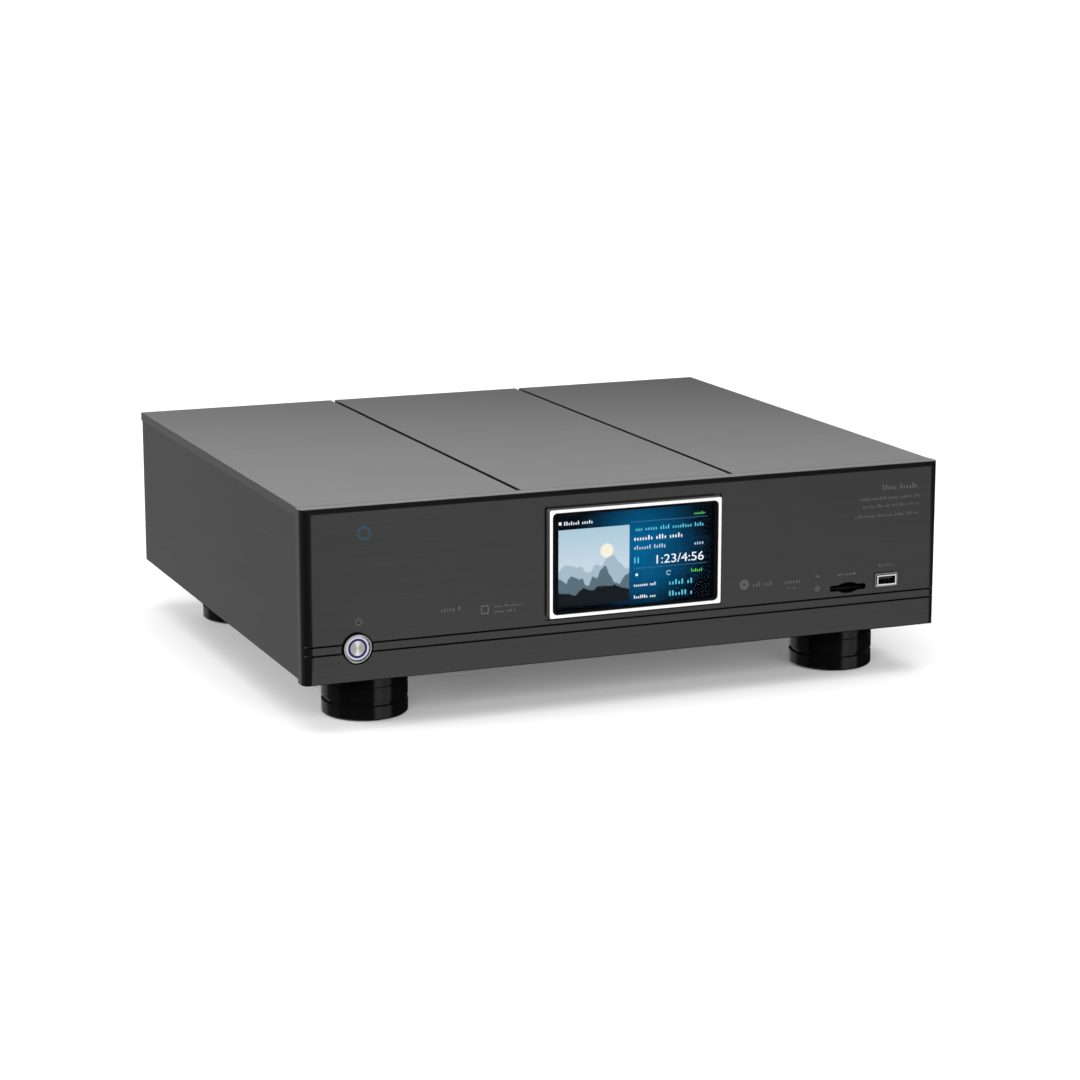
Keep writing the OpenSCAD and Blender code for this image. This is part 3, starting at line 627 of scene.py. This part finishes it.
def screen_clock(material):
    """Elapsed and total time, in plain numerals."""
    curve = bpy.data.curves.new("clock", "FONT")
    curve.body = "1:23/4:56"
    curve.size = 1.0
    curve.extrude = 0.0
    shape = bpy.data.objects.new("clock_shape", curve)
    SCENE.collection.objects.link(shape)
    bpy.context.view_layer.update()
    mesh = bmesh.new()
    mesh.from_mesh(shape.to_mesh())
    shape.to_mesh_clear()
    bpy.data.objects.remove(shape)
    xs = [v.co.x for v in mesh.verts]
    ys = [v.co.y for v in mesh.verts]
    x0, z0 = screen_point(69.5, 36.5)
    x1, z1 = screen_point(102.5, 30.9)
    front, back = screen_layer(1)
    for v in mesh.verts:
        share_x = (v.co.x - min(xs)) / (max(xs) - min(xs))
        share_z = (v.co.y - min(ys)) / (max(ys) - min(ys))
        v.co = (x0 + share_x * (x1 - x0), front, z0 + share_z * (z1 - z0))
    bmesh.ops.remove_doubles(mesh, verts=mesh.verts[:], dist=1e-7)
    made = bmesh.ops.extrude_face_region(mesh, geom=mesh.faces[:])
    for v in (g for g in made["geom"] if isinstance(g, bmesh.types.BMVert)):
        v.co.y = back
    piece("screen_clock", mesh, material)


def make_screen():
    screen_background()
    white = screen_ink("screen_white", (0.86, 0.92, 1.0))
    cyan = screen_ink("screen_cyan", (0.08, 0.55, 0.75))
    pale = screen_ink("screen_pale", (0.42, 0.58, 0.70))
    green = screen_ink("screen_green", (0.10, 0.62, 0.10))
    line = screen_ink("screen_rule", (0.03, 0.17, 0.34))
    u0, v0, u1, v1 = ALBUM
    art = bmesh.new()
    x0, z0 = screen_point(u0, v1)
    x1, z1 = screen_point(u1, v0)
    prism(art, round_box(x0, z0, x1, z1, 0.2 * MM, 2), *screen_layer(1))
    piece("screen_album", art, hills_material())
    screen_bars("screen_rules", line, [(51.5, 8.2, 105, 8.45), (53.5, 38.4, 104.5, 38.65)])
    screen_bars("screen_icons", white, [(2.4, 4.6, 4.2, 6.6)])
    screen_bars("screen_pause", cyan, [(54.0, 31.2, 54.9, 35.2), (56.3, 31.2, 57.2, 35.2)])
    screen_lines("screen_titles", white, [(6.0, 26.0, 5.7, 2.5), (54.0, 87.5, 19.0, 3.1),
                                          (54.0, 69.5, 49.2, 2.3), (54.0, 69.5, 56.9, 2.3)])
    screen_lines("screen_subtitles", pale, [(54.0, 77.8, 25.0, 2.8), (96.0, 102.5, 25.0, 2.8)])
    screen_lines("screen_values", cyan, [(55.0, 104.0, 13.0, 2.8), (78.4, 94.5, 49.4, 3.5),
                                         (78.4, 94.5, 56.6, 3.5)])
    screen_lines("screen_states", green, [(95.5, 104.0, 5.7, 2.1), (93.8, 102.5, 42.8, 2.2)])
    screen_clock(white)
    front, back = screen_layer(1)
    mark = bmesh.new()
    x, z = screen_point(78.0, 43.0)
    ring(mark, x, z, 1.15 * MM, 1.6 * MM, front, back, 20, 300, 24)
    piece("screen_repeat", mark, pale)
    dot = bmesh.new()
    x, z = screen_point(55.8, 42.6)
    prism(dot, round_box(x - 0.9 * MM, z - 0.9 * MM, x + 0.9 * MM, z + 0.9 * MM, 0.9 * MM, 6), front, back)
    piece("screen_dot", dot, white)


# ---- printed marks -------------------------------------------------------

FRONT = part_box("front_panel")[0].y
PANEL_LOW, PANEL_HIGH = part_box("front_panel")
INK = 0.03 * MM


def mark_lines(name, material, lines):
    """Lines of text marks on the front face, each (left, right, height of middle, size) in mm."""
    mesh = bmesh.new()
    for i, (x0, x1, z, size) in enumerate(lines):
        text_marks(mesh, x0 * MM, x1 * MM, z * MM, size * MM, FRONT - INK, FRONT, f"{name}{i}")
    piece(name, mesh, material)


def make_marks():
    ink = moulded("mark_ink", (0.13, 0.13, 0.135), 0.6)
    button, usb = centre_of("button_cap"), centre_of("front_usb_shell")
    card, window = centre_of("sd_socket"), centre_of("ir_window")
    bx, ux, cx, wx = (p.x / MM for p in (button, usb, card, window))
    uz, cz, wz = (p.z / MM for p in (usb, card, window))
    faint = moulded("mark_ink_faint", (0.105, 0.107, 0.112), 0.6)
    mark_lines("socket_marks", ink, [
        (ux - 5.5, ux + 5.5, uz + 10.2, 1.9), (cx - 7.5, cx + 7.5, cz + 9.2, 1.9),
        (wx - 1.6, wx + 1.6, wz + 8.6, 1.9)])
    mark_lines("format_marks", faint, [
        (-130.0, -117.0, 72.6, 3.2), (-94.5, -76.0, 71.8, 1.8), (-94.5, -80.0, 68.4, 1.8),
        (84.0, 98.0, 70.1, 3.4), (107.0, 120.0, 70.0, 3.2), (109.0, 117.5, 65.8, 1.5)])
    signs = bmesh.new()
    ring(signs, 77.8 * MM, 70.6 * MM, 0.9 * MM, 3.3 * MM, FRONT - INK, FRONT)
    for x0, z0, x1, z1 in ((-103.6, 67.4, -98.4, 68.2), (-103.6, 72.2, -98.4, 73.0),
                           (-103.6, 68.4, -102.8, 72.0), (-99.2, 68.4, -98.4, 72.0)):
        prism(signs, round_box(x0 * MM, z0 * MM, x1 * MM, z1 * MM, 0.2 * MM, 1), FRONT - INK, FRONT)
    piece("format_signs", signs, faint)
    right = PANEL_HIGH.x / MM - 14
    top = PANEL_HIGH.z / MM
    mark_lines("title_marks", faint, [
        (right - 28, right, top - 14.6, 3.6), (right - 44, right, top - 21.5, 2.1),
        (right - 42, right, top - 26.6, 2.1), (right - 48, right, top - 32.9, 2.1)])
    power = bmesh.new()
    x, z = button.x + 1.0 * MM, 70.0 * MM
    ring(power, x, z, 1.75 * MM, 2.2 * MM, FRONT - INK, FRONT, 120, 300, 30)
    prism(power, round_box(x - 0.22 * MM, z + 0.4 * MM, x + 0.22 * MM, z + 2.9 * MM, 0.2 * MM, 2),
          FRONT - INK, FRONT)
    piece("power_mark", power, ink)
    emblem = bmesh.new()
    x, z = PANEL_LOW.x + 39.8 * MM, top * MM - 16.4 * MM
    ring(emblem, x, z, 3.2 * MM, 4.5 * MM, FRONT - INK, FRONT)
    piece("emblem_ring", emblem, moulded("emblem_teal", (0.008, 0.055, 0.085), 0.35))


# ---- contacts ------------------------------------------------------------

def box_mesh(mesh, low, high):
    """A block with slightly eased front edges."""
    ease = 0.12 * min(high[0] - low[0], high[2] - low[2])
    prism(mesh, round_box(low[0], low[2], high[0], high[2], ease, 1), low[1], high[1])


def make_contacts():
    gold = bpy.data.materials["gold_plate"]
    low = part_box("front_usb_tongue")[0]
    mesh = bmesh.new()
    for i in range(4):
        x = centre_of("front_usb_tongue").x + (i - 1.5) * 2.35 * MM
        box_mesh(mesh, (x - 0.5 * MM, low.y + 0.4 * MM, low.z - 0.06 * MM),
                 (x + 0.5 * MM, low.y + 9 * MM, low.z))
    piece("front_usb_contacts", mesh, gold)
    low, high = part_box("ethernet_port")
    mesh = bmesh.new()
    middle = centre_of("ethernet_port").x
    for i in range(8):
        x = middle + (i - 3.5) * 1.02 * MM
        box_mesh(mesh, (x - 0.23 * MM, high.y - 12 * MM, low.z + 9.55 * MM),
                 (x + 0.23 * MM, high.y - 2.5 * MM, low.z + 10.15 * MM))
    piece("network_contacts", mesh, gold)


# ---- studio --------------------------------------------------------------

# Lamps aimed at the origin that show in no reflection: name, place, size and power.
LAMPS = [
    ("overhead", (0.1, -0.1, 2.6), (3.4, 3.0), 72),
    ("front_fill", (-0.2, -2.2, 1.0), (3.0, 1.2), 48),
    ("left_fill", (-2.3, 0.0, 1.1), (2.6, 1.2), 50),
    ("right_fill", (2.3, 0.2, 1.1), (2.6, 1.2), 14),
    ("back_fill", (0.2, 2.4, 1.2), (2.6, 1.2), 26),
]

FLOOR_RADIUS = 2.4
FLOOR_FADE = (1.0, 2.2)      # the floor thins out into the white surroundings between these
FLOOR_GLOW = 0.14            # so that the shadow under the case stays a soft grey
# Soft-edged windows of light all round: azimuth of the middle (0 is +Y, 90 is +X), half its width
# where full and where faded out, elevations (faded out, full, full, faded out), all in degrees,
# and strength. Lower elevations that are both -90 leave a window open downwards.
SKY_PATCHES = [
    ("front_right", 148, 20, 26, (-90, -90, -8, -1), 1.14),
    ("front_left", 163, 5, 15, (-90, -90, -10, -2), 0.45),
    ("left_low", 300, 26, 34, (-90, -90, -4, 4), 0.16),
    ("back_left", -12, 26, 40, (-90, -90, -8, 2), 0.56),
    ("back_band", 20, 60, 85, (-1, 4, 10, 16), 0.08),
    ("right", 85, 20, 40, (-10, -2, 10, 22), 0.35),
]
SKY_BASE = 0.015
BACKGROUND = 1.3


def direction(azimuth, elevation):
    a, e = math.radians(azimuth), math.radians(elevation)
    return Vector((math.sin(a) * math.cos(e), math.cos(a) * math.cos(e), math.sin(e)))


class Sky(Shader):
    """The world's node tree, with the same short calls."""

    def __init__(self, world):
        world.use_nodes = True
        self.tree = world.node_tree
        self.tree.nodes.clear()
        self.output = self.add("ShaderNodeOutputWorld")
        self.coords = self.add("ShaderNodeTexCoord").outputs["Generated"]


def make_world():
    world = bpy.data.worlds.new("studio")
    SCENE.world = world
    sky = Sky(world)
    level = sky.add("ShaderNodeVectorMath", operation="NORMALIZE")
    sky.link(sky.position((1, 1, 0)), level.inputs[0])
    height = sky.parts(sky.coords)[2]
    total = SKY_BASE
    for name, azimuth, full, faded, heights, strength in SKY_PATCHES:
        across = sky.add("ShaderNodeVectorMath", operation="DOT_PRODUCT", label=name)
        sky.link(level.outputs[0], across.inputs[0])
        across.inputs[1].default_value = direction(azimuth, 0)
        low_out, low_in, high_in, high_out = (math.sin(math.radians(h)) for h in heights)
        window = sky.spread(across.outputs["Value"], 0, strength, math.cos(math.radians(faded)),
                            math.cos(math.radians(full)), True)
        window = sky.math("MULTIPLY", window, sky.spread(height, 1, 0, high_in, high_out, True))
        if low_in > low_out:
            window = sky.math("MULTIPLY", window, sky.spread(height, 0, 1, low_out, low_in, True))
        total = sky.math("ADD", window, total)
    seen, plain = sky.add("ShaderNodeBackground"), sky.add("ShaderNodeBackground")
    sky.link(total, seen.inputs["Strength"])
    plain.inputs["Strength"].default_value = BACKGROUND
    mixed = sky.add("ShaderNodeMixShader")
    sky.link(sky.add("ShaderNodeLightPath").outputs["Is Camera Ray"], mixed.inputs[0])
    sky.link(seen.outputs[0], mixed.inputs[1])
    sky.link(plain.outputs[0], mixed.inputs[2])
    sky.link(mixed.outputs[0], sky.output.inputs[0])


def soft_light(name, place, target, size, power, glossy=True, diffuse=True):
    data = bpy.data.lights.new(name, "AREA")
    data.shape = "RECTANGLE"
    data.size, data.size_y = size
    data.energy = power
    lamp = bpy.data.objects.new(name, data)
    lamp.location = place
    lamp.rotation_euler = (Vector(target) - Vector(place)).to_track_quat("-Z", "Y").to_euler()
    lamp.visible_camera = False
    lamp.visible_glossy = glossy
    lamp.visible_diffuse = diffuse
    SCENE.collection.objects.link(lamp)


def make_studio():
    make_world()
    for name, place, size, power in LAMPS:
        soft_light(name, place, (0, 0, 0), size, power, glossy=False)
    soft_light("back_softbox", (0.36, 0.80, 0.48), (0.0, 0.0, 0.14), (1.3, 0.26), 1.95, diffuse=False)
    mesh = bmesh.new()
    bmesh.ops.create_circle(mesh, cap_ends=True, segments=96, radius=FLOOR_RADIUS)
    data = bpy.data.meshes.new("floor")
    mesh.to_mesh(data)
    mesh.free()
    floor = bpy.data.objects.new("floor", data)
    SCENE.collection.objects.link(floor)
    s = new_material("floor_white")
    grain = s.noise((3, 3, 3), 2.0)
    paper = s.add("ShaderNodeBsdfDiffuse")
    s.link(s.mix(grain, (0.84, 0.84, 0.84, 1), (0.86, 0.86, 0.86, 1)), paper.inputs["Color"])
    glow = s.add("ShaderNodeEmission")
    glow.inputs["Strength"].default_value = FLOOR_GLOW
    lit = s.add("ShaderNodeAddShader")
    s.link(paper.outputs[0], lit.inputs[0])
    s.link(glow.outputs[0], lit.inputs[1])
    clear = s.add("ShaderNodeBsdfTransparent")
    side = s.add("ShaderNodeNewGeometry")
    reach = s.add("ShaderNodeVectorMath", operation="LENGTH")
    s.link(s.position(), reach.inputs[0])
    faded = s.spread(reach.outputs["Value"], 0, 1, *FLOOR_FADE, smooth=True)
    both = s.add("ShaderNodeMixShader")
    s.link(s.math("MAXIMUM", faded, side.outputs["Backfacing"]), both.inputs[0])
    s.link(lit.outputs[0], both.inputs[1])
    s.link(clear.outputs[0], both.inputs[2])
    s.link(both.outputs[0], s.output.inputs[0])
    data.materials.append(s.material)
    floor.visible_glossy = False
    floor.visible_diffuse = False
    floor.visible_shadow = False


# ---- build ---------------------------------------------------------------

make_camera()
make_materials()
NODES["display_mask"].material_slots[0].material = bpy.data.materials["bezel_black"]
NODES["front_usb_shell"].material_slots[0].material = bpy.data.materials["usb_steel"]
finish_edges()
make_screen()
make_marks()
make_contacts()
make_studio()
